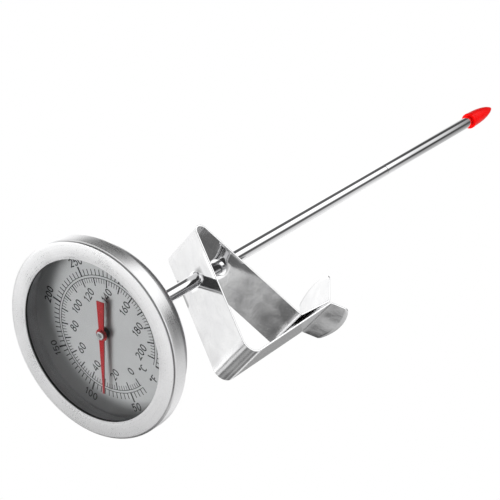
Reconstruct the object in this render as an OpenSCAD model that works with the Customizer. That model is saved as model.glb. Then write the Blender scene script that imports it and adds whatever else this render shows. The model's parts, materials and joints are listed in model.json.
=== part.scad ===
// Dial thermometer: bimetal head and probe, folded pot clip that slides on the probe, push-on tip cap.
// Millimetres. +Z points out of the dial, the probe runs down -Z, and +Y is the side away
// from the clip's jaw.
// The origin is on the probe's axis, in the middle of the bezel's rim.

/* [Dial head] */
// Outside diameter of the bezel
bezel_d = 54.6; // [54:0.2:58]
// Height of the bezel's rim
bezel_h = 5; // [4.8:0.1:5.4]
// Diameter of the clear window in the bezel
window_d = 44.6; // [42:0.2:46]
// Thickness of the pressed steel of the bezel and the case
head_t = 0.5; // [0.4:0.05:0.6]
// Depth of the case behind the middle of the rim, to its flat back
case_back = 7.5; // [7.3:0.1:9]
// Outside radius of the case's pressed back corner
case_corner = 4.5; // [4:0.1:4.8]
// How far the middle of the back is pressed out
back_step = 0.8; // [0.4:0.1:1.2]
// Thickness of the glass lens
lens_t = 1.4; // [1.2:0.1:1.6]
// Thickness of the seal under the bezel
seal_t = 0.6; // [0.4:0.05:0.7]
// Depth of the dial plate's face below the front of the bezel
dial_depth = 6.2; // [6:0.1:6.6]
// Thickness of the dial plate
dial_t = 0.5; // [0.3:0.1:0.6]

/* [Scale] */
// Turn of the dial's upright direction from +Y, towards -X
dial_turn = 10.5; // [0:0.5:20]
// Angle from the gap's middle to the zero mark, and again to the last mark
gap_half = 20; // [15:1:30]
// Celsius degrees on the scale
scale_span = 200; // [100:50:200]
// Temperature that the pointer shows at rest
rest_reading = 26; // [0:1:60]

/* [Pointer] */
// Length of the needle from the spindle's axis to its tip
needle_len = 17.2; // [14:0.1:19]
// Length of the broad tail from the spindle's axis
tail_len = 9.5; // [6:0.1:12]
// Width of the tail at its end
tail_w = 2.5; // [1.8:0.1:3]
// Width of the needle at its tip
needle_tip_w = 0.45; // [0.3:0.05:0.8]
// Thickness of the pointer
pointer_t = 0.3; // [0.2:0.05:0.4]
// Gap between the dial's face and the pointer
pointer_lift = 1.45; // [1.2:0.05:1.6]
// Radius of the spindle
spindle_r = 0.4; // [0.35:0.05:0.45]

/* [Probe] */
// Outside diameter of the probe's tube
stem_d = 3.7; // [3.6:0.1:4]
// Wall thickness of the tube
stem_wall = 0.35; // [0.3:0.05:0.4]
// Distance from the origin to the end of the tube
stem_end = 196.9; // [190:0.1:240]
// Length of bare sensing tube below the rolled groove
sensing_len = 55.5; // [50:0.5:60]
// Depth of the rolled groove that holds the lower guide
groove_depth = 0.2; // [0.18:0.01:0.22]
// Turns of the bimetal coil
coil_turns = 11; // [8:1:14]

/* [Tip cap] */
// Length of the cap outside
cap_len = 16.8; // [15:0.1:20]
// Outside diameter of the cap at its mouth
cap_d = 5.2; // [4.6:0.1:5.4]

/* [Pot clip] */
// Width of the clip's strip
clip_w = 15.5; // [12:0.5:18]
// Thickness of the clip's strip
clip_t = 0.5; // [0.4:0.05:0.6]
// Distance from the origin down to the corner of the front leg and the jaw
clip_drop = 31.3; // [28:0.1:60]
// Distance from the probe's axis to the outer jaw leaf
jaw_y = 27; // [24:0.1:30]
// Length of the front leg, corner to corner
front_leg = 46.3; // [42:0.1:50]
// Lean of the front leg from square to the probe
front_lean = 22; // [18:0.5:26]
// Length of the back leg, corner to corner
back_leg = 42.1; // [41:0.1:43]
// Lean of the back leg from square to the probe
back_lean = 12.3; // [11:0.1:13]
// Length of the inner jaw leaf, along the probe
foot_len = 12.9; // [10:0.1:16]
// Gap between the jaw leaves at the throat
jaw_gap = 0.2; // [0.2:0.05:0.6]
// Length of the upper wing to its corners
upper_wing = 9.2; // [7:0.1:12]
// Length of the lower wing to its corners
lower_wing = 5.8; // [4:0.1:8]
// Flare of the upper wing from the probe's direction
upper_flare = 41; // [35:1:55]
// Flare of the lower wing from the probe's direction
lower_flare = 50; // [35:1:55]
// How far each wing's end bulges past its corners
wing_bulge = 2.3; // [1.5:0.1:3]

/* [Hidden] */
$fn = 96;

// Front of the bezel and the heights that follow from it
front_z = bezel_h / 2;
flange_z = front_z - head_t;
lens_top = flange_z - seal_t;
lens_bottom = lens_top - lens_t;
dial_z = front_z - dial_depth;
dial_bottom = dial_z - dial_t;
floor_z = -case_back;
step_z = floor_z - back_step;

// Bezel section
rim_r = bezel_d / 2;
rim_inner = rim_r - head_t;
window_r = window_d / 2;
rim_round = 0.7;
crimp_round = 0.6;
crimp_in = 1.1;

// Case section
case_r = rim_r - 1.5;
case_inner = case_r - head_t;
lip_r = rim_inner - 0.1;
case_top = flange_z - 0.2;
lip_bottom = -front_z + head_t;
step_outer = 11;
step_inner = 9.5;

// Parts stacked in the case
fit_gap = 0.1;
stack_r = case_inner - fit_gap;
spacer_w = 1.1;
seal_r = window_r + 0.1;
seat_inner = 18.5;
seat_wall = 2;
seat_flange = 0.6;
dial_hole = 1.5;

// Collar and probe
stem_r = stem_d / 2;
bore_r = stem_r - stem_wall;
collar_flange_r = 5.2;
collar_flange_t = 1;
collar_r = 3.1;
collar_len = 4.7;
collar_spigot_r = 2.6;
collar_head_r = 3.3;
collar_chamfer = 0.4;
stem_top = floor_z + 0.9;
groove_w = 0.8;
bead_w = 0.5;
groove_top = -stem_end + sensing_len + groove_w;

// Guides, spindle and coil
running_gap = 0.03;
guide_len = 4.6;
guide_head_r = stem_r;
guide_head_t = 0.5;
middle_guide_z = -76;
lower_guide_z = groove_top - groove_w / 2;
hub_r = 1.2;
hub_body_r = 0.85;
hub_face = 0.65;
pointer_z = dial_z + pointer_lift;
spindle_top = pointer_z + pointer_t + hub_face - 0.15;
ferrule_r = 0.85;
ferrule_len = 4;
ferrule_top = lower_guide_z - guide_len / 2 - 2.5;
coil_inner = 1.1;
coil_t = 0.2;
coil_top = ferrule_top - 1;
anchor_base = 2.5;
anchor_spigot = 4;
anchor_bottom = -stem_end + 4.4;
coil_bottom = anchor_bottom + anchor_base + 0.3;
coil_len = coil_top - coil_bottom;
coil_cover = 0.78;
coil_steps = 12;
sector_steps = 6;

// Nose of the probe and the cap over it
nose_r = stem_r - 0.2;
nose_len = 7.1;
nose_cone = 3.5;
nose_tip_r = 0.9;
cap_gap = 0.03;
cap_mouth = -stem_end - 0.1;
cap_lip = 0.1;
cap_lip_len = 1.2;
cap_steps = 14;

// Pointer
gap_middle = -90 + dial_turn;
zero_angle = gap_middle - gap_half;
sweep = 360 - 2 * gap_half;
rest_angle = zero_angle - sweep * rest_reading / scale_span;
needle_root_w = 1.7;
pointer_disc_r = 1.75;

// Corners of the clip's strip, as [y, z]
low_corner = [-jaw_y, -clip_drop];
top_corner = low_corner + front_leg * [cos(front_lean), -sin(front_lean)];
foot_corner = top_corner - back_leg * [cos(back_lean), sin(back_lean)];
throat_z = foot_corner.y - foot_len;
upper_root = [-jaw_y + clip_t + jaw_gap, throat_z];
lower_root = [-jaw_y, throat_z];
upper_tip = upper_root + (upper_wing + wing_bulge) * [sin(upper_flare), -cos(upper_flare)];
lower_tip = lower_root - (lower_wing + wing_bulge) * [sin(lower_flare), cos(lower_flare)];
low_bend = 3.3;
top_bend = 2;
foot_bend = 1.5;
wing_bend = 1;
bend_steps = 10;
leaf_gap = 0.1;
front_hole_r = 2.2;
back_hole_r = 2.6;
wing_arc_r = (pow(clip_w / 2, 2) + pow(wing_bulge, 2)) / (2 * wing_bulge);

// ---- shared shapes ----

function unit(v) = v / norm(v);
function turn_at(a, b, c) = acos(unit(b - a) * unit(c - b));
function cut_back(a, b, c, r) = r * tan(turn_at(a, b, c) / 2);

// A ring of rectangular section between two radii and two heights
module ring(inner, outer, bottom, top) {
    translate([0, 0, bottom]) difference() {
        cylinder(r = outer, h = top - bottom);
        translate([0, 0, -1]) cylinder(r = inner, h = top - bottom + 2);
    }
}

// A quarter of a ring in section, centred at [x, y], in the quadrant that the signs name
module quarter(x, y, outer, thick, sx, sy) {
    corner = [sx < 0 ? -outer : 0, sy < 0 ? -outer : 0];
    translate([x, y]) intersection() {
        difference() {
            circle(r = outer);
            circle(r = outer - thick);
        }
        translate(corner) square(outer);
    }
}

// A rectangle in section, from one corner to the other
module block(x0, y0, x1, y1) {
    translate([x0, y0]) square([x1 - x0, y1 - y0]);
}

// Centre of the bend at corner b, where the sheet's middle line has radius r
function bend_centre(a, b, c, r) = b + unit(unit(a - b) + unit(c - b)) * r / cos(turn_at(a, b, c) / 2);

// 1 when the path turns left at corner b, -1 when it turns right
function turn_side(a, b, c) = sign(cross(b - a, c - b));

// Points round the bend at corner b, off the middle line by t / 2 to the left (side 1) or right (-1)
function bend_points(a, b, c, r, t, side) =
    let (turn = turn_at(a, b, c), way = turn_side(a, b, c), out = -way * [-unit(b - a).y, unit(b - a).x],
         start = atan2(out.y, out.x), reach = r - way * side * t / 2)
    [for (i = [0 : bend_steps]) bend_centre(a, b, c, r)
        + reach * [cos(start + way * turn * i / bend_steps), sin(start + way * turn * i / bend_steps)]];

// One side of a folded sheet along corners, with a bend radius at each inner corner
function sheet_side(corners, radii, t, side) =
    let (last = len(corners) - 1, first_way = unit(corners[1] - corners[0]),
         last_way = unit(corners[last] - corners[last - 1]))
    concat(
        [corners[0] + side * t / 2 * [-first_way.y, first_way.x]],
        [for (i = [1 : last - 1])
            for (p = bend_points(corners[i - 1], corners[i], corners[i + 1], radii[i], t, side)) p],
        [corners[last] + side * t / 2 * [-last_way.y, last_way.x]]);

// A folded strip, seen edge on
module strip(corners, radii, t) {
    right = sheet_side(corners, radii, t, -1);
    polygon(concat(sheet_side(corners, radii, t, 1), [for (i = [len(right) - 1 : -1 : 0]) right[i]]));
}

// A section drawn in [y, z], made into a strip of the clip's width along X
module across() {
    rotate([90, 0, 90]) linear_extrude(height = clip_w, center = true) children();
}

// What is cut from a wing's square end to leave its arc
module wing_waste(root, tip, straight) {
    along = tip - root;
    translate([0, root.x, root.y]) rotate([atan2(along.y, along.x), 0, 0])
        linear_extrude(height = 4, center = true) difference() {
            translate([-clip_w / 2 - 1, straight]) square([clip_w + 2, 2 * wing_bulge]);
            translate([0, straight + wing_bulge - wing_arc_r]) circle(r = wing_arc_r);
        }
}

// A round hole square to a leg, where that leg crosses the probe
module leg_hole(a, b, r) {
    lean = atan2(b.y - a.y, b.x - a.x);
    z = a.y - a.x * (b.y - a.y) / (b.x - a.x);
    translate([0, 0, z]) rotate([lean, 0, 0]) cylinder(r = r, h = 6, center = true);
}

// A bush in the tube's bore, running on the spindle
module guide(middle_z) {
    ring(spindle_r + running_gap, bore_r, middle_z - guide_len / 2, middle_z + guide_len / 2);
}

// ---- dial head ----

module bezel_ring() color("gainsboro") rotate_extrude() {
    hem = head_t / 2;
    translate([window_r + hem, flange_z + hem]) circle(r = hem);
    block(window_r + hem, flange_z, rim_r - rim_round, front_z);
    quarter(rim_r - rim_round, front_z - rim_round, rim_round, head_t, 1, 1);
    block(rim_inner, -front_z + crimp_round, rim_r, front_z - rim_round);
    quarter(rim_r - crimp_round, -front_z + crimp_round, crimp_round, head_t, 1, -1);
    block(rim_r - crimp_in, -front_z, rim_r - crimp_round, -front_z + head_t);
}

module lens_seal() color("black") ring(seal_r, stack_r, lens_top, flange_z);

module lens() color("lightcyan", 0.35) {
    edge = 0.2;
    lens_r = stack_r - 0.2;
    rotate_extrude() polygon([
        [0, lens_bottom], [lens_r - edge, lens_bottom], [lens_r, lens_bottom + edge],
        [lens_r, lens_top - edge], [lens_r - edge, lens_top], [0, lens_top]
    ]);
}

module spacer_ring() color("silver") ring(stack_r - spacer_w, stack_r, dial_z, lens_bottom);

module dial_plate() color("lightgray") ring(dial_hole, stack_r - 0.3, dial_bottom, dial_z);

module dial_seat() color("darkgray") {
    ring(seat_inner, seat_inner + seat_wall, floor_z + head_t, dial_bottom);
    ring(seat_inner + seat_wall, stack_r - 0.6, dial_bottom - seat_flange, dial_bottom);
}

module case_cup() color("silver") rotate_extrude() {
    block(case_inner, floor_z + case_corner, case_r, case_top);
    block(case_r, lip_bottom, lip_r, lip_bottom + head_t);
    quarter(case_r - case_corner, floor_z + case_corner, case_corner, head_t, 1, -1);
    block(step_outer, floor_z, case_r - case_corner, floor_z + head_t);
    polygon([
        [step_outer, floor_z], [step_outer, floor_z + head_t],
        [step_inner, step_z + head_t], [step_inner, step_z]
    ]);
    block(collar_spigot_r, step_z, step_inner, step_z + head_t);
}

module stem_collar() color("silver") {
    flange_bottom = step_z - collar_flange_t;
    neck_bottom = step_z - collar_len;
    head_top = step_z + head_t + 0.6;
    rotate_extrude() polygon([
        [stem_r, neck_bottom], [collar_r - collar_chamfer, neck_bottom],
        [collar_r, neck_bottom + collar_chamfer], [collar_r, flange_bottom],
        [collar_flange_r - collar_chamfer, flange_bottom],
        [collar_flange_r, flange_bottom + collar_chamfer], [collar_flange_r, step_z],
        [collar_spigot_r, step_z], [collar_spigot_r, step_z + head_t],
        [collar_head_r, step_z + head_t], [collar_head_r - 0.3, head_top], [stem_r, head_top]
    ]);
}

// ---- probe ----

// The groove pushes a bead into the bore, which stands in the lower guide's waist
module stem_tube() color("silver") {
    bead_z = groove_top - groove_w / 2;
    difference() {
        ring(bore_r, stem_r, -stem_end, stem_top);
        ring(stem_r - groove_depth, stem_r + 1, groove_top - groove_w, groove_top);
    }
    ring(bore_r - groove_depth, bore_r + 0.05, bead_z - bead_w / 2, bead_z + bead_w / 2);
}

module probe_plug() color("silver") rotate_extrude() polygon([
    [0, anchor_bottom], [bore_r, anchor_bottom], [bore_r, -stem_end], [nose_r, -stem_end],
    [nose_r, -stem_end - nose_len], [nose_tip_r, -stem_end - nose_len - nose_cone],
    [0, -stem_end - nose_len - nose_cone]
]);

module upper_guide() color("goldenrod") {
    ring(spindle_r + running_gap, guide_head_r, stem_top, stem_top + guide_head_t);
    ring(spindle_r + running_gap, bore_r, stem_top - guide_len, stem_top);
}

module middle_guide() color("goldenrod") guide(middle_guide_z);

module lower_guide() color("goldenrod") difference() {
    guide(lower_guide_z);
    ring(bore_r - groove_depth, bore_r + 1, lower_guide_z - bead_w / 2, lower_guide_z + bead_w / 2);
}

// A flat strip wound on edge round the probe's axis. A level cut through it is one arc of
// a ring, so it is that arc extruded with a twist.
module bimetal_coil() color("peru") {
    span = 360 * coil_cover;
    outer = [for (i = [0 : sector_steps])
        (coil_inner + coil_t) * [cos(span * i / sector_steps), sin(span * i / sector_steps)]];
    inner = [for (i = [sector_steps : -1 : 0])
        coil_inner * [cos(span * i / sector_steps), sin(span * i / sector_steps)]];
    translate([0, 0, coil_bottom])
        linear_extrude(height = coil_len, twist = -360 * coil_turns,
                       slices = coil_turns * coil_steps, $fn = 2 * sector_steps + 2)
            polygon(concat(outer, inner));
}

module coil_anchor() color("goldenrod") {
    translate([0, 0, anchor_bottom]) cylinder(r = bore_r, h = anchor_base);
    translate([0, 0, anchor_bottom]) cylinder(r = ferrule_r, h = anchor_base + anchor_spigot);
}

// ---- turning parts ----

module coil_ferrule() color("goldenrod")
    ring(spindle_r, ferrule_r, ferrule_top - ferrule_len, ferrule_top);

module spindle() color("silver") translate([0, 0, ferrule_top - ferrule_len])
    cylinder(r = spindle_r, h = spindle_top - ferrule_top + ferrule_len);

module pointer() color("crimson") rotate([0, 0, rest_angle])
    translate([0, 0, pointer_z]) linear_extrude(height = pointer_t) difference() {
        union() {
            circle(r = pointer_disc_r);
            polygon([
                [-tail_len, -tail_w / 2], [0, -needle_root_w / 2],
                [needle_len, -needle_tip_w / 2], [needle_len, needle_tip_w / 2],
                [0, needle_root_w / 2], [-tail_len, tail_w / 2]
            ]);
        }
        circle(r = hub_body_r);
    }

module pointer_hub() color("silver") {
    face_z = pointer_z + pointer_t;
    ring(spindle_r, hub_r, face_z, face_z + hub_face);
    ring(spindle_r, hub_body_r, pointer_z - 0.8, face_z);
}

// ---- pot clip, one folded strip in three leaves that flex at its bends ----

module clip_front_leg() color("whitesmoke") difference() {
    low_end = low_corner + [0, -1] * cut_back(top_corner, low_corner, lower_root, low_bend);
    top_end = top_corner
        + unit(foot_corner - top_corner) * cut_back(low_corner, top_corner, foot_corner, top_bend);
    across() strip([low_end, low_corner, top_corner, top_end], [0, low_bend, top_bend, 0], clip_t);
    leg_hole(low_corner, top_corner, front_hole_r);
}

module clip_back_leg() color("whitesmoke") difference() {
    start = top_corner + unit(foot_corner - top_corner)
        * (cut_back(low_corner, top_corner, foot_corner, top_bend) + leaf_gap);
    across() strip([start, foot_corner, upper_root, upper_tip],
                   [0, foot_bend, wing_bend, 0], clip_t);
    leg_hole(foot_corner, top_corner, back_hole_r);
    wing_waste(upper_root, upper_tip, upper_wing);
}

module clip_jaw_leaf() color("whitesmoke") difference() {
    start = low_corner
        + [0, -1] * (cut_back(top_corner, low_corner, lower_root, low_bend) + leaf_gap);
    across() strip([start, lower_root, lower_tip], [0, wing_bend, 0], clip_t);
    wing_waste(lower_root, lower_tip, lower_wing);
}

// ---- tip cap ----

function cap_radius(s) = cap_d / 2 * pow(1 - pow(s, 2.6), 0.75);

module tip_cap() color("red") {
    hollow_r = nose_r + cap_gap;
    hollow_end = cap_mouth - nose_len - 0.2;
    cone_end = hollow_end - nose_cone;
    lip_r_out = cap_d / 2 + cap_lip;
    lip_end = cap_lip_len / cap_len;
    taper = [for (i = [0 : cap_steps])
        let (s = lip_end + (1 - lip_end) * i / cap_steps) [cap_radius(s), cap_mouth - cap_len * s]];
    rotate_extrude() polygon(concat(
        [[0, cone_end], [nose_tip_r + cap_gap, cone_end], [hollow_r, hollow_end],
         [hollow_r, cap_mouth], [lip_r_out, cap_mouth], [lip_r_out, cap_mouth - cap_lip_len]],
        taper));
}

bezel_ring();
lens_seal();
lens();
spacer_ring();
dial_plate();
dial_seat();
case_cup();
stem_collar();
stem_tube();
probe_plug();
upper_guide();
middle_guide();
lower_guide();
bimetal_coil();
coil_anchor();
coil_ferrule();
spindle();
pointer();
pointer_hub();
clip_front_leg();
clip_back_leg();
clip_jaw_leaf();
tip_cap();
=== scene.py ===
"""Looks for the dial thermometer: finished surfaces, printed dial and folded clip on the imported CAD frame."""
import json
import math

import bmesh
import bpy
from mathutils import Matrix, Vector


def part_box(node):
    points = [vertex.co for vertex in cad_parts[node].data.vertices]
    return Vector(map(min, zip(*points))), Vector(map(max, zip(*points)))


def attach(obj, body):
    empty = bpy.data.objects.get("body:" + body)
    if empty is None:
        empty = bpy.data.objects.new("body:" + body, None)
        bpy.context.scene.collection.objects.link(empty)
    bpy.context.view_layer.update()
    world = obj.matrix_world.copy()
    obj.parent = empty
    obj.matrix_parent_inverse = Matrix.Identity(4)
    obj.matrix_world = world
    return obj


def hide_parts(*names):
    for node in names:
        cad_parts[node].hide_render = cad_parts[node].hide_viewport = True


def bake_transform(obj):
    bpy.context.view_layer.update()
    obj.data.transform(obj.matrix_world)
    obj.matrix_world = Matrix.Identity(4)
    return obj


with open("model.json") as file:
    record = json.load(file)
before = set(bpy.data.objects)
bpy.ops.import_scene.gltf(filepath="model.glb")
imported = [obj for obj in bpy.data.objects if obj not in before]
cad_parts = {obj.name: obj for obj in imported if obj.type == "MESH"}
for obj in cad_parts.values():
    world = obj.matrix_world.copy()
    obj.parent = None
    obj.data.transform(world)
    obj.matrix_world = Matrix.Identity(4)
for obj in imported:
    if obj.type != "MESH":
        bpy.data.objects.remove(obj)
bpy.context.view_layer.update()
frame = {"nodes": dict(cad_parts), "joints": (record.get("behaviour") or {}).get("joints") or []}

nodes = frame["nodes"]
joints = {joint["name"]: joint for joint in frame["joints"]}
MM = 0.001


# ---------------------------------------------------------------- geometry helpers

def box_mm(node):
    """Lowest and highest corner of a CAD node, in millimetres."""
    low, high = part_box(node)
    return low / MM, high / MM


def arc(centre, radius, start, stop, steps):
    """Points on a circle or, with two radii, an ellipse, from start to stop in degrees."""
    rx, ry = radius if isinstance(radius, tuple) else (radius, radius)
    angles = [math.radians(start + (stop - start) * i / steps) for i in range(steps + 1)]
    return [(centre[0] + rx * math.cos(a), centre[1] + ry * math.sin(a)) for a in angles]


def round_corner(before, corner, after, radius, steps):
    """Points that replace a corner by an arc of that radius."""
    b, c, a = Vector(before), Vector(corner), Vector(after)
    u, v = (b - c).normalized(), (a - c).normalized()
    half = math.acos(max(-1.0, min(1.0, u.dot(v)))) / 2
    start = c + u * radius / math.tan(half)
    stop = c + v * radius / math.tan(half)
    middle = c + (u + v).normalized() * radius / math.sin(half)
    first, last = start - middle, stop - middle
    turn = math.atan2(first.x * last.y - first.y * last.x, first.dot(last))
    return [tuple(middle + Matrix.Rotation(turn * i / steps, 2) @ first) for i in range(steps + 1)]


def rounded(points, radii, steps=5):
    """A closed outline with its corners rounded; a radius of 0 keeps the corner."""
    made = []
    for i, (point, radius) in enumerate(zip(points, radii)):
        if radius:
            made += round_corner(points[i - 1], point, points[(i + 1) % len(points)], radius, steps)
        else:
            made.append(point)
    return made


def finish_mesh(name, bm, smooth_deg):
    """Turns a bmesh into a linked object in metres, smooth except at edges sharper than smooth_deg."""
    bmesh.ops.recalc_face_normals(bm, faces=bm.faces)
    mesh = bpy.data.meshes.new(name)
    bm.to_mesh(mesh)
    bm.free()
    mesh.transform(Matrix.Scale(MM, 4))
    mesh.polygons.foreach_set("use_smooth", [True] * len(mesh.polygons))
    mesh.set_sharp_from_angle(angle=math.radians(smooth_deg))
    piece = bpy.data.objects.new(name, mesh)
    bpy.context.scene.collection.objects.link(piece)
    return piece


def lathe(name, outline, sides, smooth_deg):
    """Turns an outline of (radius, z) points in millimetres round Z. An outline off the axis is closed."""
    bm = bmesh.new()
    rings = []
    for radius, z in outline:
        if radius < 1e-6:
            rings.append([bm.verts.new((0, 0, z))])
            continue
        turns = [2 * math.pi * k / sides for k in range(sides)]
        rings.append([bm.verts.new((radius * math.cos(t), radius * math.sin(t), z)) for t in turns])
    pairs = list(zip(rings, rings[1:]))
    if len(rings[0]) > 1 and len(rings[-1]) > 1:
        pairs.append((rings[-1], rings[0]))
    for a, b in pairs:
        for k in range(sides):
            n = (k + 1) % sides
            corners = [a[k % len(a)], a[n % len(a)], b[n % len(b)], b[k % len(b)]]
            corners = list(dict.fromkeys(corners))
            if len(corners) > 2:
                bm.faces.new(corners)
    return finish_mesh(name, bm, smooth_deg)


def prism(bm, outline, bottom, top):
    """A closed flat solid with that (x, y) outline."""
    low = [bm.verts.new((x, y, bottom)) for x, y in outline]
    high = [bm.verts.new((x, y, top)) for x, y in outline]
    bm.faces.new(list(reversed(low)))
    bm.faces.new(high)
    for i in range(len(outline)):
        j = (i + 1) % len(outline)
        bm.faces.new((low[i], low[j], high[j], high[i]))


def ribbon(bm, points, width, bottom, top, closed=False):
    """A line of that width along the points, as a thin closed solid."""
    points = [Vector(p) for p in points]
    count = len(points)
    left, right = [], []
    for i, p in enumerate(points):
        before = points[i - 1] if closed or i else p
        after = points[(i + 1) % count] if closed or i + 1 < count else p
        along_in = (p - before).normalized() if (p - before).length else (after - p).normalized()
        along_out = (after - p).normalized() if (after - p).length else along_in
        mitre = (along_in + along_out).normalized()
        side = Vector((-mitre.y, mitre.x)) * width / 2 / max(0.5, mitre.dot(along_in))
        left.append(p + side)
        right.append(p - side)
    rows = [[bm.verts.new((*q, z)) for q in side] for side in (left, right) for z in (bottom, top)]
    left_low, left_high, right_low, right_high = rows
    for i in range(count if closed else count - 1):
        j = (i + 1) % count
        bm.faces.new((left_high[i], right_high[i], right_high[j], left_high[j]))
        bm.faces.new((left_low[i], left_low[j], right_low[j], right_low[i]))
        bm.faces.new((left_low[i], left_high[i], left_high[j], left_low[j]))
        bm.faces.new((right_low[i], right_low[j], right_high[j], right_high[i]))
    if not closed:
        for i in (0, count - 1):
            bm.faces.new((left_low[i], right_low[i], right_high[i], left_high[i]))


def bevelled(piece, width_mm, segments=2, angle_deg=40, keep=None):
    """Rounds the piece's sharp edges, except those whose ends both pass keep, and bakes the result."""
    bm = bmesh.new()
    bm.from_mesh(piece.data)
    weight = bm.edges.layers.float.new("bevel_weight_edge")
    for edge in bm.edges:
        sharp = edge.calc_face_angle(0.0) > math.radians(angle_deg)
        kept = keep is not None and all(keep(corner.co / MM) for corner in edge.verts)
        edge[weight] = 1.0 if sharp and not kept else 0.0
    bm.to_mesh(piece.data)
    bm.free()
    bevel = piece.modifiers.new("edge", "BEVEL")
    bevel.width = width_mm * MM
    bevel.segments = segments
    bevel.limit_method = "WEIGHT"
    bevel.harden_normals = False
    graph = bpy.context.evaluated_depsgraph_get()
    mesh = bpy.data.meshes.new_from_object(piece.evaluated_get(graph))
    piece.modifiers.clear()
    piece.data = mesh
    mesh.polygons.foreach_set("use_smooth", [True] * len(mesh.polygons))
    mesh.set_sharp_from_angle(angle=math.radians(angle_deg))
    return piece


def dress(piece, material, body=None, replaces=()):
    """Gives a new piece its material, its CAD body and the nodes that it stands for."""
    piece.data.materials.clear()
    piece.data.materials.append(material)
    if body:
        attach(piece, body)
    if replaces:
        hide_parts(*replaces)
    return piece


# ---------------------------------------------------------------- material helpers

def add(tree, kind, inputs=(), **settings):
    """A new shader node. An input is a plain value, or the output socket that feeds it."""
    made = tree.nodes.new(kind)
    for key, value in settings.items():
        setattr(made, key, value)
    for key, value in dict(inputs).items():
        if isinstance(value, bpy.types.NodeSocket):
            tree.links.new(value, made.inputs[key])
        else:
            made.inputs[key].default_value = value
    return made


def new_material(name, **principled):
    """A material with one Principled shader; its uniform values are set on the shader itself."""
    material = bpy.data.materials.new(name)
    material.use_nodes = True
    tree = material.node_tree
    shader = tree.nodes["Principled BSDF"]
    for key, value in principled.items():
        shader.inputs[key.replace("_", " ")].default_value = value
    return material, tree, shader


def place(tree, scale):
    """The row frame's coordinates in millimetres, stretched by scale along X, Y and Z."""
    source = add(tree, "ShaderNodeTexCoord").outputs["Object"]
    stretch = tuple(s / MM for s in scale)
    return add(tree, "ShaderNodeMapping", {"Vector": source, "Scale": stretch}).outputs[0]


def spun(tree, across, around, along):
    """Coordinates for a turned surface: radius and height in millimetres, and the place round the axis."""
    source = add(tree, "ShaderNodeTexCoord").outputs["Object"]
    flat = add(tree, "ShaderNodeVectorMath", {0: source, 1: (1, 1, 0)}, operation="MULTIPLY").outputs[0]
    radius = add(tree, "ShaderNodeVectorMath", {0: flat}, operation="LENGTH").outputs["Value"]
    unit = add(tree, "ShaderNodeVectorMath", {0: flat}, operation="NORMALIZE").outputs[0]
    turned = add(tree, "ShaderNodeVectorMath", {0: unit, "Scale": around}, operation="SCALE").outputs[0]
    height = add(tree, "ShaderNodeSeparateXYZ", {0: source}).outputs["Z"]
    out = add(tree, "ShaderNodeMath", {0: radius, 1: across / MM}, operation="MULTIPLY").outputs[0]
    up = add(tree, "ShaderNodeMath", {0: height, 1: along / MM}, operation="MULTIPLY").outputs[0]
    both = add(tree, "ShaderNodeMath", {0: out, 1: up}, operation="ADD").outputs[0]
    lift = add(tree, "ShaderNodeCombineXYZ", {"Z": both}).outputs[0]
    return add(tree, "ShaderNodeVectorMath", {0: turned, 1: lift}, operation="ADD").outputs[0]


def noise(tree, vector, detail=4.0, distortion=0.0):
    """Noise between about 0.25 and 0.75, centred on 0.5."""
    values = {"Vector": vector, "Scale": 1.0, "Detail": detail, "Roughness": 0.5, "Distortion": distortion}
    return add(tree, "ShaderNodeTexNoise", values).outputs["Fac"]


def spread(tree, value, low, high, from_low=0.3, from_high=0.7):
    """Maps a value from one range, which is a noise's usual one, to another."""
    values = {"Value": value, "From Min": from_low, "From Max": from_high, "To Min": low, "To Max": high}
    return add(tree, "ShaderNodeMapRange", values).outputs[0]


def mixed(tree, factor, first, second):
    """A colour between two colours."""
    made = add(tree, "ShaderNodeMix", {"Factor": factor}, data_type="RGBA")
    for socket, colour in ((made.inputs[6], first), (made.inputs[7], second)):
        if isinstance(colour, bpy.types.NodeSocket):
            tree.links.new(colour, socket)
        else:
            socket.default_value = (*colour, 1)
    return made.outputs[2]


def plus(tree, *values):
    """The sum of some values."""
    total = values[0]
    for value in values[1:]:
        total = add(tree, "ShaderNodeMath", {0: total, 1: value}, operation="ADD").outputs[0]
    return total


def times(tree, first, second):
    """The product of two values."""
    return add(tree, "ShaderNodeMath", {0: first, 1: second}, operation="MULTIPLY").outputs[0]


def bumped(tree, shader, height, strength, distance_mm):
    """Feeds a height into the shader's normal."""
    values = {"Height": height, "Strength": strength, "Distance": distance_mm * MM}
    tree.links.new(add(tree, "ShaderNodeBump", values).outputs[0], shader.inputs["Normal"])


# ---------------------------------------------------------------- materials

def turned_steel(name, dark, light, rough, grain=6.0, depth=0.004, metal=1.0):
    """Stainless steel turned or drawn round the axis, with fine ring marks and soft stains."""
    material, tree, shader = new_material(name, Metallic=metal)
    rings = noise(tree, spun(tree, grain, 1.5, grain), detail=6)
    stain = noise(tree, place(tree, (0.12, 0.12, 0.12)), detail=3)
    speck = noise(tree, place(tree, (3, 3, 3)), detail=2)
    shade = plus(tree, times(tree, rings, 0.3), times(tree, stain, 0.35), times(tree, speck, 0.35))
    colour = mixed(tree, spread(tree, shade, 0, 1, 0.36, 0.64), dark, light)
    tree.links.new(colour, shader.inputs["Base Color"])
    fine = plus(tree, spread(tree, rings, -0.05, 0.05), spread(tree, stain, rough[0], rough[1]))
    tree.links.new(plus(tree, fine, spread(tree, speck, -0.03, 0.03)), shader.inputs["Roughness"])
    bumped(tree, shader, plus(tree, rings, times(tree, speck, 0.5)), 0.35, depth)
    return material


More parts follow.
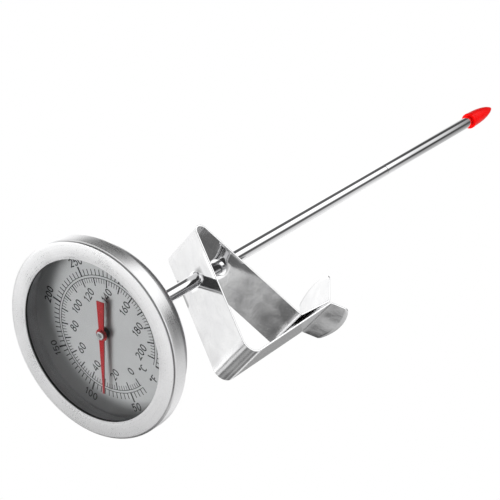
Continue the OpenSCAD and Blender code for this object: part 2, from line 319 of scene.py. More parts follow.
def drawn_steel(name):
    """The probe's polished tube, with fine lines along it."""
    material, tree, shader = new_material(name, Metallic=1.0)
    lines = noise(tree, place(tree, (9, 9, 0.05)), detail=5)
    haze = noise(tree, place(tree, (0.5, 0.5, 0.06)), detail=3)
    colour = mixed(tree, spread(tree, lines, 0, 1), (0.80, 0.80, 0.81), (0.90, 0.90, 0.91))
    tree.links.new(colour, shader.inputs["Base Color"])
    rough = plus(tree, spread(tree, haze, 0.04, 0.08), spread(tree, lines, -0.01, 0.02))
    tree.links.new(rough, shader.inputs["Roughness"])
    bumped(tree, shader, lines, 0.25, 0.002)
    return material


def strip_steel(name):
    """The clip's bright rolled strip: faint rolling lines, cross scratches, clouds and slight waves."""
    material, tree, shader = new_material(name, Metallic=1.0)
    flat = add(tree, "ShaderNodeUVMap", uv_map="strip").outputs[0]

    def sheet(scale, turn_deg=0.0):
        """The strip's map in millimetres, stretched by scale and turned."""
        values = {"Vector": flat, "Scale": (*scale, 1), "Rotation": (0, 0, math.radians(turn_deg))}
        kind = "TEXTURE" if turn_deg else "POINT"
        return add(tree, "ShaderNodeMapping", values, vector_type=kind).outputs[0]

    rolling = noise(tree, sheet((0.08, 9)), detail=5)
    clouds = noise(tree, sheet((0.16, 0.2)), detail=4, distortion=0.6)
    waves = noise(tree, sheet((0.07, 0.09)), detail=1.5)
    scratches = []
    for turn, scale in ((8, (7, 0.35, 1)), (-24, (9, 0.5, 1))):
        drawn_out = add(tree, "ShaderNodeMapping", {"Vector": sheet((1, 1), turn), "Scale": scale}).outputs[0]
        scratches.append(noise(tree, drawn_out, detail=2))
    marks = plus(tree, *[spread(tree, s, 0, 1, 0.66, 0.72) for s in scratches])
    shade = plus(tree, times(tree, rolling, 0.4), times(tree, clouds, 0.6))
    colour = mixed(tree, spread(tree, shade, 0, 1), (0.80, 0.80, 0.81), (0.93, 0.93, 0.93))
    marked = mixed(tree, times(tree, marks, 0.35), colour, (0.5, 0.5, 0.5))
    tree.links.new(marked, shader.inputs["Base Color"])
    worn_map = add(tree, "ShaderNodeUVMap", uv_map="worn").outputs[0]
    worn = add(tree, "ShaderNodeSeparateXYZ", {0: worn_map}).outputs["X"]
    rough = plus(tree, spread(tree, clouds, 0.05, 0.11), times(tree, marks, 0.15), times(tree, worn, 0.16))
    tree.links.new(rough, shader.inputs["Roughness"])
    height = plus(tree, times(tree, waves, 24.0), times(tree, clouds, 3.0), times(tree, rolling, 0.12),
                  times(tree, marks, -0.15))
    bumped(tree, shader, height, 0.6, 0.01)
    return material


def dial_paint(name):
    """The dial plate's satin silver finish with a very fine fleck."""
    material, tree, shader = new_material(name, Metallic=0.85)
    fleck = noise(tree, place(tree, (12, 12, 12)), detail=3)
    cloud = noise(tree, place(tree, (0.15, 0.15, 0.15)), detail=2)
    shade = plus(tree, times(tree, fleck, 0.5), times(tree, cloud, 0.5))
    colour = mixed(tree, spread(tree, shade, 0, 1), (0.58, 0.58, 0.585), (0.66, 0.66, 0.665))
    tree.links.new(colour, shader.inputs["Base Color"])
    tree.links.new(spread(tree, fleck, 0.36, 0.44), shader.inputs["Roughness"])
    bumped(tree, shader, fleck, 0.2, 0.003)
    return material


def ink(name):
    """Black screen print, a little thin in places."""
    material, tree, shader = new_material(name, Roughness=0.6, Specular_IOR_Level=0.15)
    cover = noise(tree, place(tree, (5, 5, 5)), detail=3)
    colour = mixed(tree, spread(tree, cover, 0, 1), (0.012, 0.012, 0.013), (0.035, 0.035, 0.036))
    tree.links.new(colour, shader.inputs["Base Color"])
    bumped(tree, shader, cover, 0.2, 0.002)
    return material


def red_paint(name):
    """The pointer's red enamel."""
    material, tree, shader = new_material(name, Coat_Weight=0.1, Coat_Roughness=0.2, Specular_IOR_Level=0.3)
    mottle = noise(tree, place(tree, (1.6, 1.6, 1.6)), detail=4)
    colour = mixed(tree, spread(tree, mottle, 0, 1), (0.20, 0.003, 0.006), (0.29, 0.007, 0.010))
    tree.links.new(colour, shader.inputs["Base Color"])
    tree.links.new(spread(tree, mottle, 0.32, 0.46), shader.inputs["Roughness"])
    bumped(tree, shader, mottle, 0.15, 0.01)
    return material


def red_plastic(name):
    """The tip cap's glossy red moulding, slightly uneven, with handling marks."""
    material, tree, shader = new_material(name, Specular_IOR_Level=0.1)
    uneven = noise(tree, place(tree, (0.5, 0.5, 0.3)), detail=3)
    marks = noise(tree, place(tree, (7, 7, 1.2)), detail=4)
    colour = mixed(tree, spread(tree, uneven, 0, 1), (0.88, 0.001, 0.001), (1.0, 0.003, 0.002))
    tree.links.new(colour, shader.inputs["Base Color"])
    tree.links.new(plus(tree, spread(tree, uneven, 0.22, 0.34), spread(tree, marks, -0.02, 0.03)),
                   shader.inputs["Roughness"])
    bumped(tree, shader, plus(tree, uneven, times(tree, marks, 0.03)), 0.12, 0.02)
    return material


def soft_black(name):
    """The seal's black rubber."""
    material, tree, shader = new_material(name)
    grain = noise(tree, place(tree, (6, 6, 6)), detail=4)
    colour = mixed(tree, spread(tree, grain, 0, 1), (0.008, 0.008, 0.008), (0.025, 0.025, 0.025))
    tree.links.new(colour, shader.inputs["Base Color"])
    tree.links.new(spread(tree, grain, 0.6, 0.8), shader.inputs["Roughness"])
    bumped(tree, shader, grain, 0.3, 0.01)
    return material


def warm_metal(name, dark, light):
    """Turned brass, or the bimetal's rolled strip."""
    material, tree, shader = new_material(name, Metallic=1.0)
    rings = noise(tree, spun(tree, 8, 1.2, 8), detail=5)
    tree.links.new(mixed(tree, spread(tree, rings, 0, 1), dark, light), shader.inputs["Base Color"])
    tree.links.new(spread(tree, rings, 0.22, 0.4), shader.inputs["Roughness"])
    bumped(tree, shader, rings, 0.3, 0.004)
    return material


def clear_glass(name):
    """A pane that lets everything through and mirrors a little, more at a slant, with faint smears."""
    material = bpy.data.materials.new(name)
    material.use_nodes = True
    tree = material.node_tree
    tree.nodes.clear()
    smear = noise(tree, place(tree, (0.3, 0.3, 0.3)), detail=4)
    through = add(tree, "ShaderNodeBsdfTransparent", {"Color": (0.985, 0.99, 0.99, 1)}).outputs[0]
    shine = add(tree, "ShaderNodeBsdfGlossy", {"Roughness": spread(tree, smear, 0.02, 0.06)}).outputs[0]
    slant = add(tree, "ShaderNodeFresnel", {"IOR": 1.2}).outputs[0]
    share = times(tree, slant, spread(tree, smear, 0.8, 1.1))
    both = add(tree, "ShaderNodeMixShader", {0: share, 1: through, 2: shine}).outputs[0]
    add(tree, "ShaderNodeOutputMaterial", {"Surface": both})
    return material


BEZEL = turned_steel("bezel_satin", (0.77, 0.77, 0.775), (0.92, 0.92, 0.925), (0.28, 0.36))
CASE = turned_steel("case_drawn", (0.55, 0.55, 0.56), (0.68, 0.68, 0.69), (0.26, 0.38), grain=4, depth=0.006)
WELL = turned_steel("spacer_drawn", (0.46, 0.46, 0.47), (0.70, 0.70, 0.71), (0.38, 0.52), grain=2.2,
                    depth=0.02, metal=0.3)
TUBE = drawn_steel("tube_polished")
STRIP = strip_steel("strip_bright")
HUB = turned_steel("hub_turned", (0.70, 0.70, 0.71), (0.85, 0.85, 0.86), (0.2, 0.3), grain=14)
WIRE = turned_steel("wire_ground", (0.25, 0.25, 0.26), (0.4, 0.4, 0.41), (0.3, 0.4), grain=14)
BRASS = warm_metal("brass_turned", (0.50, 0.36, 0.14), (0.66, 0.50, 0.22))
BIMETAL = warm_metal("bimetal_rolled", (0.42, 0.38, 0.33), (0.58, 0.53, 0.46))
DIAL = dial_paint("dial_silver")
INK = ink("dial_ink")
RED_PAINT = red_paint("pointer_red")
RED_PLASTIC = red_plastic("cap_red")
BLACK = soft_black("seal_black")
GLASS = clear_glass("lens_glass")

for node_name, material in {
    "lens_seal": BLACK, "lens": GLASS, "spacer_ring": WELL, "dial_plate": DIAL, "dial_seat": CASE,
    "case_cup": CASE, "stem_collar": CASE, "probe_plug": TUBE, "upper_guide": BRASS, "middle_guide": BRASS,
    "lower_guide": BRASS, "bimetal_coil": BIMETAL, "coil_anchor": BRASS, "coil_ferrule": BRASS,
    "spindle": WIRE,
}.items():
    for material_slot in nodes[node_name].material_slots:
        material_slot.material = material


# ---------------------------------------------------------------- bezel, probe tube and cap

def bezel_shell():
    """The pressed bezel: hemmed window edge, satin flange crowned outwards, rolled edge, wall and crimp."""
    low, high = box_mm("bezel_ring")
    rim, front, back = high.x, high.z, low.z
    sheet, edge, crown, turn_in = 0.5, 0.7, 0.2, 0.6
    flange_cover, crimp_width = 2.9, 1.1
    window = box_mm("lens_seal")[1].x - flange_cover
    crimp = rim - crimp_width
    flat = rim - edge - window
    bow = (flat ** 2 + crown ** 2) / (2 * crown)
    tilt = math.degrees(math.asin(flat / bow))
    outline = [(window + 0.2, front - 0.4), (window, front - 0.2), (window + 0.08, front - 0.05)]
    outline += arc((window, front - bow), bow, 89, 90 - tilt, 10)
    outline += arc((rim - edge, front - crown - edge), edge, 80, 0, 8)
    outline += arc((rim - turn_in, back + turn_in), turn_in, 0, -90, 6)
    outline += [(crimp, back), (crimp, back + sheet), (rim - sheet, back + sheet)]
    outline += [(rim - sheet, front - sheet - 0.3), (window + 0.2, front - sheet)]
    shell = lathe("bezel_shell", outline, 256, 30)
    return dress(shell, BEZEL, "head_and_probe", ["bezel_ring"])


def tube_shell():
    """The probe's tube with a faint rolled groove and softly broken ends."""
    low, high = box_mm("stem_tube")
    wall, sensing, groove, depth, soft = 0.35, 55.5, 0.8, 0.05, 0.1
    outer, bore = high.x, high.x - wall
    groove_low = low.z + sensing
    outline = [
        (outer, high.z), (outer, groove_low + groove), (outer - depth, groove_low + groove / 2),
        (outer, groove_low), (outer, low.z), (bore, low.z), (bore, high.z),
    ]
    tube = lathe("tube_shell", rounded(outline, (soft, 0.4, 0.25, 0.4, soft, soft, soft), 5), 96, 30)
    return dress(tube, TUBE, "head_and_probe", ["stem_tube"])


def cap_shell():
    """The red cap: a lip round the mouth, a long taper like a bullet and a blunt tip."""
    low, high = box_mm("tip_cap")
    mouth, tip, lip = high.z, low.z, high.x
    lip_len, lip_step, bore, bore_depth, drill_point = 1.2, 0.1, 1.7, 7.3, 2.5
    length, body, floor = mouth - tip, lip - lip_step, mouth - bore_depth
    steps, lip_share = 22, lip_len / length

    def radius(share):
        """The body's radius at a share of the cap's length from the mouth."""
        return body * max(0.0, 1 - share ** 2.6) ** 0.75

    shares = [lip_share + (1 - lip_share) * i / steps for i in range(1, steps)]
    taper = [(radius(share), mouth - length * share) for share in shares] + [(0.0, tip)]
    mouth_end = rounded([(bore, floor), (bore, mouth), (lip, mouth), (lip, mouth - lip_len),
                         (radius(lip_share), mouth - lip_len - 0.2)],
                        (0, 0.12, 0.45, 0.3, 0), 5)
    cap = lathe("cap_shell", [(0, floor - drill_point)] + mouth_end + taper, 96, 50)
    return dress(cap, RED_PLASTIC, "cap", ["tip_cap"])


# ---------------------------------------------------------------- dial print

PRINT_CENTRE = Vector((0.0, -0.65))
SCALE_TURN = 10.5
CELSIUS_ZERO = 250.8
CELSIUS_STEP = 1.6
CELSIUS_TOP = 200
FAHRENHEIT_STEP = CELSIUS_STEP * 5 / 9
FAHRENHEIT_RANGE = (30, 400)
RING_OUTER, RING_INNER = 16.35, 15.6
CELSIUS_FIGURES, FAHRENHEIT_FIGURES, FIGURE_HEIGHT = 11.2, 20.5, 2.15


def celsius_angle(value):
    """Where a Celsius reading stands round the dial, in degrees, before the print's own turn."""
    return CELSIUS_ZERO - CELSIUS_STEP * value


def fahrenheit_angle(value):
    """Where a Fahrenheit reading stands round the dial, in degrees, before the print's own turn."""
    return CELSIUS_ZERO - FAHRENHEIT_STEP * (value - 32)


def polar(radius, degrees):
    """A point at that radius and angle round the print's centre."""
    angle = math.radians(degrees)
    return PRINT_CENTRE + Vector((radius * math.cos(angle), radius * math.sin(angle)))


def glyph_strokes():
    """Plain engineering figures one unit high, each a list of (points, closed) strokes round its middle."""
    oval = arc((0, 0), (0.25, 0.46), 0, 345, 23)
    two = arc((0, 0.22), (0.24, 0.24), 165, -30, 10) + [(-0.25, -0.46), (0.27, -0.46)]
    three_top = arc((-0.01, 0.235), (0.22, 0.225), 150, -90, 12)
    three_low = arc((-0.01, -0.215), (0.25, 0.245), 90, -150, 13)
    four = [(0.13, -0.46), (0.13, 0.46), (-0.27, -0.2), (0.29, -0.2)]
    five = [(0.23, 0.46), (-0.19, 0.46), (-0.22, 0.04)] + arc((-0.01, -0.17), (0.25, 0.29), 125, -150, 14)
    six = [(0.17, 0.46), (-0.08, 0.2)] + arc((0, -0.19), (0.25, 0.27), 150, 450, 18)
    eight_top = arc((0, 0.24), (0.2, 0.22), -90, 255, 16)
    eight_low = arc((0, -0.22), (0.25, 0.24), 90, 435, 18)
    letter_c = arc((0, 0), (0.27, 0.46), 48, 312, 18)
    degree = arc((0, 0.36), 0.11, 0, 330, 11)
    return {
        "0": [(oval, True)],
        "1": [([(-0.14, 0.26), (0.05, 0.46), (0.05, -0.46)], False)],
        "2": [(two, False)],
        "3": [(three_top, False), (three_low, False)],
        "4": [(four, False)],
        "5": [(five, False)],
        "6": [(six, False)],
        "8": [(eight_top, True), (eight_low, True)],
        "C": [(letter_c, False)],
        "F": [([(-0.2, -0.46), (-0.2, 0.46), (0.24, 0.46)], False), ([(-0.2, 0.02), (0.16, 0.02)], False)],
        "°": [(degree, True)],
    }


def dial_print():
    """Both scales, their double ring and their figures, as one thin layer of ink on the dial plate."""
    face = box_mm("dial_plate")[1].z
    bottom, top = face - 0.01, face + 0.02
    strokes = glyph_strokes()
    bm = bmesh.new()

    def tick(degrees, start, stop, width):
        """Draws a scale line from one radius to another."""
        ends = [polar(radius, degrees + SCALE_TURN) for radius in (start, stop)]
        ribbon(bm, ends, width, bottom, top)

    def figures(text, centre, upright_deg, height, stroke):
        """Draws text round a centre; upright_deg is the direction of its top."""
        advance = {"1": 0.54, "°": 0.38}
        widths = [advance.get(letter, 0.76) for letter in text]
        turn = Matrix.Rotation(math.radians(upright_deg - 90), 2)
        left = -sum(widths) / 2
        for letter, width in zip(text, widths):
            for points, closed in strokes[letter]:
                placed = [centre + turn @ (Vector((x + left + width / 2, y)) * height) for x, y in points]
                ribbon(bm, placed, stroke, bottom, top, closed)
            left += width

    for value in range(0, CELSIUS_TOP + 1, 2):
        major = value % 10 == 0
        length, width = (2.2, 0.36) if major else (1.3, 0.17)
        tick(celsius_angle(value), RING_INNER, RING_INNER - length, width)
    for value in range(FAHRENHEIT_RANGE[0], FAHRENHEIT_RANGE[1] + 1, 5):
        major = value % 50 == 0
        length, width = (2.7, 0.5) if major else (1.7, 0.27)
        tick(fahrenheit_angle(value), RING_OUTER, RING_OUTER + length, width)
    first, last = (fahrenheit_angle(v) + SCALE_TURN for v in FAHRENHEIT_RANGE)
    for radius in (RING_OUTER, RING_INNER):
        ribbon(bm, arc(PRINT_CENTRE, radius, first, last, 240), 0.18, bottom, top)
    for value in range(0, CELSIUS_TOP + 1, 20):
        figures(str(value), polar(CELSIUS_FIGURES, celsius_angle(value) + SCALE_TURN), 90 + SCALE_TURN,
                FIGURE_HEIGHT, 0.32)
    for value in range(50, FAHRENHEIT_RANGE[1] + 1, 50):
        angle = fahrenheit_angle(value) + SCALE_TURN
        outwards = math.sin(math.radians(fahrenheit_angle(value))) > 0
        figures(str(value), polar(FAHRENHEIT_FIGURES, angle), angle if outwards else angle + 180,
                FIGURE_HEIGHT, 0.34)
    for text, radius in (("°C", 13.2), ("°F", 17.2)):
        figures(text, polar(radius, -90 + SCALE_TURN), 90 + SCALE_TURN, 2.1, 0.32)
    layer = finish_mesh("dial_print", bm, 30)
    return dress(layer, INK, "head_and_probe")


# ---------------------------------------------------------------- pointer and hub

def pointer_blade():
    """The stamped pointer: broad square tail, round boss, tapering needle, edges softly broken."""
    low, high = box_mm("pointer")
    scale_start = 250
    rest = scale_start + SCALE_TURN + joints["pointer_turn"]["range_deg"][0]
    tail, tail_half = 9.5, 1.25
    needle, tip_half, root_half = 17.2, 0.22, 0.85
    boss = 1.75
    enter = math.degrees(math.asin(root_half / boss))
    outline = [(-tail, -tail_half)] + arc((0, 0), boss, 180 + enter, 360 - enter, 12)
    outline += [(needle, -tip_half), (needle, tip_half)]
    outline += arc((0, 0), boss, enter, 180 - enter, 12) + [(-tail, tail_half)]
    bm = bmesh.new()
    prism(bm, outline, low.z, high.z)
    bmesh.ops.rotate(bm, verts=bm.verts, cent=(0, 0, 0), matrix=Matrix.Rotation(math.radians(rest), 3, "Z"))
    blade = bevelled(finish_mesh("pointer_blade", bm, 30), 0.05)
    return dress(blade, RED_PAINT, "pointer_shaft", ["pointer"])


def hub_cap():
    """The pointer's turned hub: a chamfered head with a dished middle round the spindle's end."""
    low, high = box_mm("pointer_hub")
    head = high.x
    blade_top = box_mm("pointer")[1].z
    bore, neck, dish, dish_depth = 0.4, 0.85, 0.62, 0.12
    outline = [
        (bore, low.z), (neck, low.z), (neck, blade_top), (head, blade_top), (head, high.z),
        (dish, high.z), (bore, high.z - dish_depth),
    ]
    hub = lathe("hub_cap", rounded(outline, (0, 0.08, 0, 0.06, 0.16, 0.08, 0), 4), 64, 35)
    return dress(hub, HUB, "pointer_shaft", ["pointer_hub"])


# ---------------------------------------------------------------- folded clip

STRIP_W, STRIP_T = 15.5, 0.5
LEG_LEAN, BACK_LEAN = math.radians(22), math.radians(12.3)
FRONT_LEG, BACK_LEG, FOOT = 46.3, 42.1, 12.9
LOW_BEND, TOP_BEND, FOOT_BEND, WING_BEND = 3.3, 2.0, 0.8, 1.0
WING_BULGE, WING_CORNER = 2.3, 0.7
UPPER_WING, LOWER_WING = 9.2, 5.8
UPPER_FLARE, LOWER_FLARE = math.radians(41), math.radians(50)
LOW_CORNER_Z, SPLIT_SHARE, LEAF_GAP = -31.3, 0.3, 0.2
FRONT_HOLE, BACK_HOLE = 2.2, 2.6


def clip_corners():
    """The strip's corners as (y, z), from the lower wing's tip round to the upper wing's tip."""
    leaf_y = box_mm("clip_jaw_leaf")[1].y - STRIP_T / 2
    low = Vector((leaf_y, LOW_CORNER_Z))
    top = low + FRONT_LEG * Vector((math.cos(LEG_LEAN), -math.sin(LEG_LEAN)))
    foot = top - BACK_LEG * Vector((math.cos(BACK_LEAN), math.sin(BACK_LEAN)))
    throat = foot.y - FOOT
    upper_root = Vector((leaf_y + STRIP_T + LEAF_GAP, throat))
    lower_root = Vector((leaf_y, throat))
    upper_way = Vector((math.sin(UPPER_FLARE), -math.cos(UPPER_FLARE)))
    lower_way = Vector((math.sin(LOWER_FLARE), math.cos(LOWER_FLARE)))
    upper_tip = upper_root + (UPPER_WING + WING_BULGE) * upper_way
    lower_tip = lower_root - (LOWER_WING + WING_BULGE) * lower_way
    split = low.lerp(top, SPLIT_SHARE)
    return {"low": low, "top": top, "foot": foot, "upper_root": upper_root, "lower_root": lower_root,
            "upper_tip": upper_tip, "lower_tip": lower_tip, "split": split}


class Path:
    """The middle line of a folded strip: straight runs joined by arcs, walked by distance."""

    def __init__(self, corners, radii):
        self.parts = []
        point = corners[0]
        for i in range(1, len(corners) - 1):
            into = (corners[i] - corners[i - 1]).normalized()
            out = (corners[i + 1] - corners[i]).normalized()
            turn = math.atan2(into.x * out.y - into.y * out.x, into.dot(out))
            cut = radii[i] * math.tan(abs(turn) / 2)
            start = corners[i] - into * cut
            self.parts.append(("run", point, into, (start - point).length, 0.0))
            self.parts.append(("bend", start, into, radii[i] * abs(turn), turn))
            point = corners[i] + out * cut
        into = (corners[-1] - point).normalized()
        self.parts.append(("run", point, into, (corners[-1] - point).length, 0.0))
        self.length = sum(part[3] for part in self.parts)

    def at(self, distance):
        """The point and the unit direction there."""
        for kind, start, into, length, turn in self.parts:
            if distance <= length or (kind, start) == (self.parts[-1][0], self.parts[-1][1]):
                break
            distance -= length
        if kind == "run":
            return start + into * distance, into
        radius = length / abs(turn)
        side = Vector((-into.y, into.x)) * math.copysign(1, turn)
        middle = start + side * radius
        spin = Matrix.Rotation(turn * distance / length, 2)
        return middle + spin @ (start - middle), spin @ into

    def bent(self, distance):
        """1 inside a bend and 0 on a run."""
        gone = 0.0
        for kind, _, _, length, _ in self.parts:
            if kind == "bend" and gone - 0.01 <= distance <= gone + length + 0.01:
                return 1.0
            gone += length
        return 0.0

    def stations(self, flat_step, bend_steps):
        """Distances for the rows of a mesh: wide apart on the runs and close together in the bends."""
        made, gone = [0.0], 0.0
        for kind, _, _, length, _ in self.parts:
            count = bend_steps if kind == "bend" else max(1, round(length / flat_step))
            made += [gone + length * (i + 1) / count for i in range(count)]
            gone += length
        return made


def across_places():
    """Places across the strip, closer together towards its edges."""
    half, count = STRIP_W / 2, 20
    return [half * math.sin(math.pi / 2 * (2 * i / count - 1)) for i in range(count + 1)]


def wing_end(x):
    """How far short of the arc's crown a wing ends at x, with the corners rounded."""
    half = STRIP_W / 2
    radius = (half ** 2 + WING_BULGE ** 2) / (2 * WING_BULGE)
    short = radius - math.sqrt(radius ** 2 - x ** 2)
    over = max(0.0, abs(x) - (half - WING_CORNER))
    return short + WING_CORNER - math.sqrt(max(0.0, WING_CORNER ** 2 - over ** 2))


def clip_piece(name, path, holes, wing_at_start, wing_at_end, map_from, split):
    """A bent piece of the strip with its holes, faces and edges, and a map of the sheet from map_from on."""
    places = across_places()
    patch, rings, flat_step, bend_steps, wing_len = 4.6, 4, 1.6, 9, 8.0
    stations = path.stations(flat_step, bend_steps)
    for centre, _ in holes:
        stations = [s for s in stations if abs(s - centre) > patch + 0.4]
        stations = sorted(stations + [centre - patch, centre + patch])
    bm = bmesh.new()
    uv_layer = bm.loops.layers.uv.new("strip")
    worn_layer = bm.loops.layers.uv.new("worn")

    def flat_point(s, x):
        """A mesh place on the flat strip, drawn in where a wing's end is rounded."""
        if wing_at_start and s < wing_len:
            return s + wing_end(x) * (1 - s / wing_len), x
        if wing_at_end and s > path.length - wing_len:
            return s - wing_end(x) * (1 - (path.length - s) / wing_len), x
        return s, x

    made = {}

    def vertex(s, x, side):
        """The mesh corner over a flat place, on the outer face (1) or the inner face (-1)."""
        key = (round(s, 4), round(x, 4), side)
        if key not in made:
            point, along = path.at(s)
            out = Vector((-along.y, along.x)) * side * STRIP_T / 2
            made[key] = bm.verts.new((x, point.x + out.x, point.y + out.y))
        return made[key]

    def face(corners, side):
        """A piece of one face, with its place on the sheet and its wear."""
        loop = [vertex(s, x, side) for s, x in corners]
        if len(set(loop)) < 3:
            return
        made_face = bm.faces.new(loop if side > 0 else list(reversed(loop)))
        for item, (s, x) in zip(made_face.loops, corners if side > 0 else list(reversed(corners))):
            item[uv_layer].uv = (map_from + s, x)
            item[worn_layer].uv = (path.bent(s), 0.0)

    def wall(first, second):
        """A piece of the sheet's edge between two flat places."""
        corners = [(first, 1), (second, 1), (second, -1), (first, -1)]
        made_face = bm.faces.new([vertex(*point, side) for point, side in corners])
        for item, (point, _) in zip(made_face.loops, corners):
            item[uv_layer].uv = (map_from + point[0], point[1])
            item[worn_layer].uv = (path.bent(point[0]), 0.0)

    rows = [[flat_point(s, x) for x in places] for s in stations]
    for i in range(len(rows) - 1):
        open_patch = any(abs((stations[i] + stations[i + 1]) / 2 - centre) < 0.1 for centre, _ in holes)
        for k in range(len(places) - 1):
            if not open_patch:
                for side in (1, -1):
                    face([rows[i][k], rows[i + 1][k], rows[i + 1][k + 1], rows[i][k + 1]], side)
        for k in (0, len(places) - 1):
            if not open_patch:
                wall(rows[i][k], rows[i + 1][k])
    for row in (rows[0], rows[-1]):
        for k in range(len(places) - 1):
            wall(row[k], row[k + 1])
    for centre, radius in holes:
        edge_steps = 6
        edge = [centre - patch + 2 * patch * j / edge_steps for j in range(edge_steps + 1)]
        outer = [(edge[0], x) for x in places] + [(s, places[-1]) for s in edge[1:]]
        outer += [(edge[-1], x) for x in reversed(places[:-1])]
        outer += [(s, places[0]) for s in reversed(edge[1:-1])]
        angles = [math.atan2(x, s - centre) for s, x in outer]
        inner = [(centre + radius * math.cos(a), radius * math.sin(a)) for a in angles]
        loops = []
        for ring in range(rings + 1):
            share = (ring / rings) ** 0.8
            loops.append([(i[0] + (o[0] - i[0]) * share, i[1] + (o[1] - i[1]) * share)
                          for i, o in zip(inner, outer)])
        loops[-1] = outer
        count = len(outer)
        for near, far in zip(loops, loops[1:]):
            for j in range(count):
                n = (j + 1) % count
                for side in (1, -1):
                    face([near[j], far[j], far[n], near[n]], side)
        for j in range(count):
            wall(inner[j], inner[(j + 1) % count])
        for x in (places[0], places[-1]):
            for a, b in zip(edge, edge[1:]):
                wall((a, x), (b, x))
    split_along = path.at(0.0 if map_from else path.length)[1]

    def at_split(corner):
        """Whether a corner lies in the plane where the two pieces meet."""
        return abs((Vector((corner.y, corner.z)) - split).dot(split_along)) < 0.01

    return bevelled(finish_mesh(name, bm, 30), 0.09, 2, 50, at_split)


def crossing(path, first, last):
    """The distance along the path at which it crosses the probe's axis, between two distances."""
    for _ in range(40):
        middle = (first + last) / 2
        inside = (path.at(first)[0].x < 0) == (path.at(middle)[0].x < 0)
        first, last = (middle, last) if inside else (first, middle)
    return first


def clip():
    """The folded clip in two pieces that meet unseen on the front leg."""
    c = clip_corners()
    jaw_path = Path([c["lower_tip"], c["lower_root"], c["low"], c["split"]], (0, WING_BEND, LOW_BEND, 0))
    leg_path = Path([c["split"], c["top"], c["foot"], c["upper_root"], c["upper_tip"]],
                    (0, TOP_BEND, FOOT_BEND, WING_BEND, 0))
    front = crossing(leg_path, 0, (c["top"] - c["split"]).length - 8)
    after_top = leg_path.parts[0][3] + leg_path.parts[1][3]
    back = crossing(leg_path, after_top, after_top + leg_path.parts[2][3])
    jaw_half = clip_piece("clip_jaw_half", jaw_path, [], True, False, 0.0, c["split"])
    leg_half = clip_piece("clip_leg_half", leg_path, [(front, FRONT_HOLE), (back, BACK_HOLE)], False, True,
                          jaw_path.length, c["split"])
    dress(jaw_half, STRIP, None, ["clip_jaw_leaf"])
    dress(leg_half, STRIP, None, ["clip_front_leg", "clip_back_leg"])
    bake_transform(jaw_half)
    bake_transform(leg_half)


# ---------------------------------------------------------------- studio

CAMERA_PLACE = Vector((0.30087, -0.0675, 0.2709))
CAMERA_WAY = Vector((-0.65783, 0.14680, -0.73872))
CAMERA_UP = Vector((0.55165, 0.76168, -0.33988))
CAMERA_LENS_MM, CAMERA_SENSOR_MM = 115.2, 36.0


def make_camera():
    """The camera that the photo was taken with, as fitted to the bezel, the probe and the clip."""
    camera = bpy.data.objects.new("camera", bpy.data.cameras.new("camera"))
    camera.data.lens, camera.data.sensor_width = CAMERA_LENS_MM, CAMERA_SENSOR_MM
    way = CAMERA_WAY.normalized()
    right = way.cross(CAMERA_UP).normalized()
    up = right.cross(way)
    turn = Matrix((right, up, -way)).transposed().to_4x4()
    camera.matrix_world = Matrix.Translation(CAMERA_PLACE) @ turn
    bpy.context.scene.collection.objects.link(camera)
    bpy.context.scene.camera = camera


def area_light(name, way, distance, size, power):
    """A square soft light in that direction from the head, aimed at it."""
    light = bpy.data.objects.new(name, bpy.data.lights.new(name, "AREA"))
    light.data.shape = "SQUARE"
    light.data.size, light.data.energy = size, power
    way = Vector(way).normalized()
    light.location = way * distance
    light.rotation_mode = "QUATERNION"
    light.rotation_quaternion = way.to_track_quat("Z", "Y")
    light.visible_glossy = False
    bpy.context.scene.collection.objects.link(light)


def ramp(tree, factor, stops):
    """A grey curve through (place, level) stops."""
    made = add(tree, "ShaderNodeValToRGB", {"Fac": factor})
    elements = made.color_ramp.elements
    made.color_ramp.interpolation = "EASE"
    for i, (where, level) in enumerate(stops):
        stop = elements[i] if i < 2 else elements.new(where)
        stop.position = where
        stop.color = (level, level, level, 1)
    return made.outputs["Color"]


def card(tree, way, light, toward, size_deg, soft_deg, level):
    """Lays a round soft-edged card of that brightness over the light from that direction."""
    toward = Vector(toward).normalized()
    near = add(tree, "ShaderNodeVectorMath", {0: way, 1: toward}, operation="DOT_PRODUCT").outputs["Value"]
    inner, outer = (math.cos(math.radians(size_deg + s * soft_deg)) for s in (-0.5, 0.5))
    values = {"Value": near, "From Min": outer, "From Max": inner}
    cover = add(tree, "ShaderNodeMapRange", values, interpolation_type="SMOOTHSTEP").outputs[0]
    return mixed(tree, cover, light, (level, level, level))


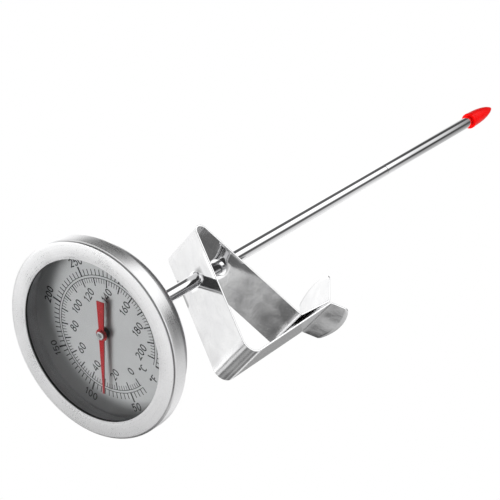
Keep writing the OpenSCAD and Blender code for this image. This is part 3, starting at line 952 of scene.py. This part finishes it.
def make_world():
    """Soft white surroundings. What the metal mirrors also has the cards and dark gaps of a studio tent."""
    world = bpy.data.worlds.new("studio")
    bpy.context.scene.world = world
    world.use_nodes = True
    tree = world.node_tree
    tree.nodes.clear()
    way = add(tree, "ShaderNodeTexCoord").outputs["Generated"]
    parts = add(tree, "ShaderNodeSeparateXYZ", {0: way})
    x, y, z = (parts.outputs[k] for k in range(3))

    def turn(first, second):
        """The angle of the direction (second, first), as 0 to 1 for -180 to 180 degrees."""
        angle = add(tree, "ShaderNodeMath", {0: first, 1: second}, operation="ARCTAN2").outputs[0]
        return spread(tree, angle, 0, 1, -math.pi, math.pi)

    def at(degrees):
        """The same measure, for a plain angle in degrees."""
        return (degrees + 180) / 360

    arch = ramp(tree, turn(z, y), [
        (at(-180), 0.46), (at(180), 0.46), (at(-156), 0.15), (at(-125), 0.15), (at(-104), 0.36),
        (at(-45), 0.80), (at(-20), 0.98), (at(35), 0.98), (at(58), 1.62), (at(70), 1.56),
        (at(80), 1.08), (at(88), 0.80), (at(96), 0.95), (at(101.5), 0.90), (at(104), 0.50),
        (at(106.5), 0.13), (at(112), 0.16), (at(130), 0.36), (at(150), 0.46), (at(168), 0.46),
    ])
    arch = times(tree, arch, spread(tree, x, 0.45, 1.45, -0.82, -0.52))
    behind = ramp(tree, turn(y, x), [
        (at(-180), 0.6), (at(180), 0.6), (at(-110), 0.75), (at(-60), 0.7), (at(-25), 0.95), (at(20), 0.95),
        (at(60), 0.7), (at(110), 0.8),
    ])
    high = ramp(tree, turn(y, x), [
        (at(-180), 0.5), (at(180), 0.5), (at(-135), 0.10), (at(-120), 0.04), (at(95), 0.04), (at(115), 0.12),
        (at(140), 0.5),
    ])
    below = ramp(tree, turn(y, x), [
        (at(-180), 1.2), (at(180), 1.2), (at(-150), 0.9), (at(-76), 0.62), (at(-60), 0.14), (at(-34), 0.07),
        (at(-18), 0.9), (at(-6), 1.4), (at(30), 1.4), (at(48), 0.10), (at(98), 0.13), (at(112), 0.85),
        (at(125), 1.15), (at(145), 1.3),
    ])
    below = times(tree, below, spread(tree, z, 0.60, 1.0, -0.84, -0.79))
    behind = mixed(tree, spread(tree, z, 0, 1, 0.28, 0.38), behind, high)
    light = mixed(tree, spread(tree, x, 0, 1, -0.5, -0.3), arch, behind)
    light = mixed(tree, spread(tree, z, 0, 1, -0.45, -0.62), light, below)
    light = card(tree, way, light, (0, 0, 1), 24, 16, 0.45)
    light = card(tree, way, light, (-0.67, 0.225, 0.71), 6.5, 3, 0.13)
    light = card(tree, way, light, (-0.80, -0.57, 0.17), 12.2, 3, 0.07)
    light = card(tree, way, light, (-0.776, -0.104, -0.637), 7.9, 2, 0.26)
    light = card(tree, way, light, (-0.672, -0.103, -0.734), 6.0, 3, 0.30)
    light = card(tree, way, light, (0, 0, -1), 26, 10, 0.10)
    path = add(tree, "ShaderNodeLightPath")
    soft = add(tree, "ShaderNodeBackground", {"Color": (0.98, 0.99, 1.0, 1), "Strength": 0.62}).outputs[0]
    gloss = add(tree, "ShaderNodeBackground", {"Color": light, "Strength": 1.1}).outputs[0]
    seen = add(tree, "ShaderNodeBackground", {"Color": (1, 1, 1, 1), "Strength": 1.0}).outputs[0]
    lit = add(tree, "ShaderNodeMixShader", {0: path.outputs["Is Glossy Ray"], 1: soft, 2: gloss}).outputs[0]
    both = add(tree, "ShaderNodeMixShader", {0: path.outputs["Is Camera Ray"], 1: lit, 2: seen}).outputs[0]
    add(tree, "ShaderNodeOutputWorld", {"Surface": both})


make_camera()
make_world()
area_light("key", (-0.73, 0.22, 0.64), 0.7, 0.24, 12.0)
area_light("fill", (0.82, -0.30, 0.20), 0.8, 0.5, 4.0)
bpy.context.scene.view_settings.view_transform = "Standard"

bezel_shell()
tube_shell()
cap_shell()
dial_print()
pointer_blade()
hub_cap()
clip()
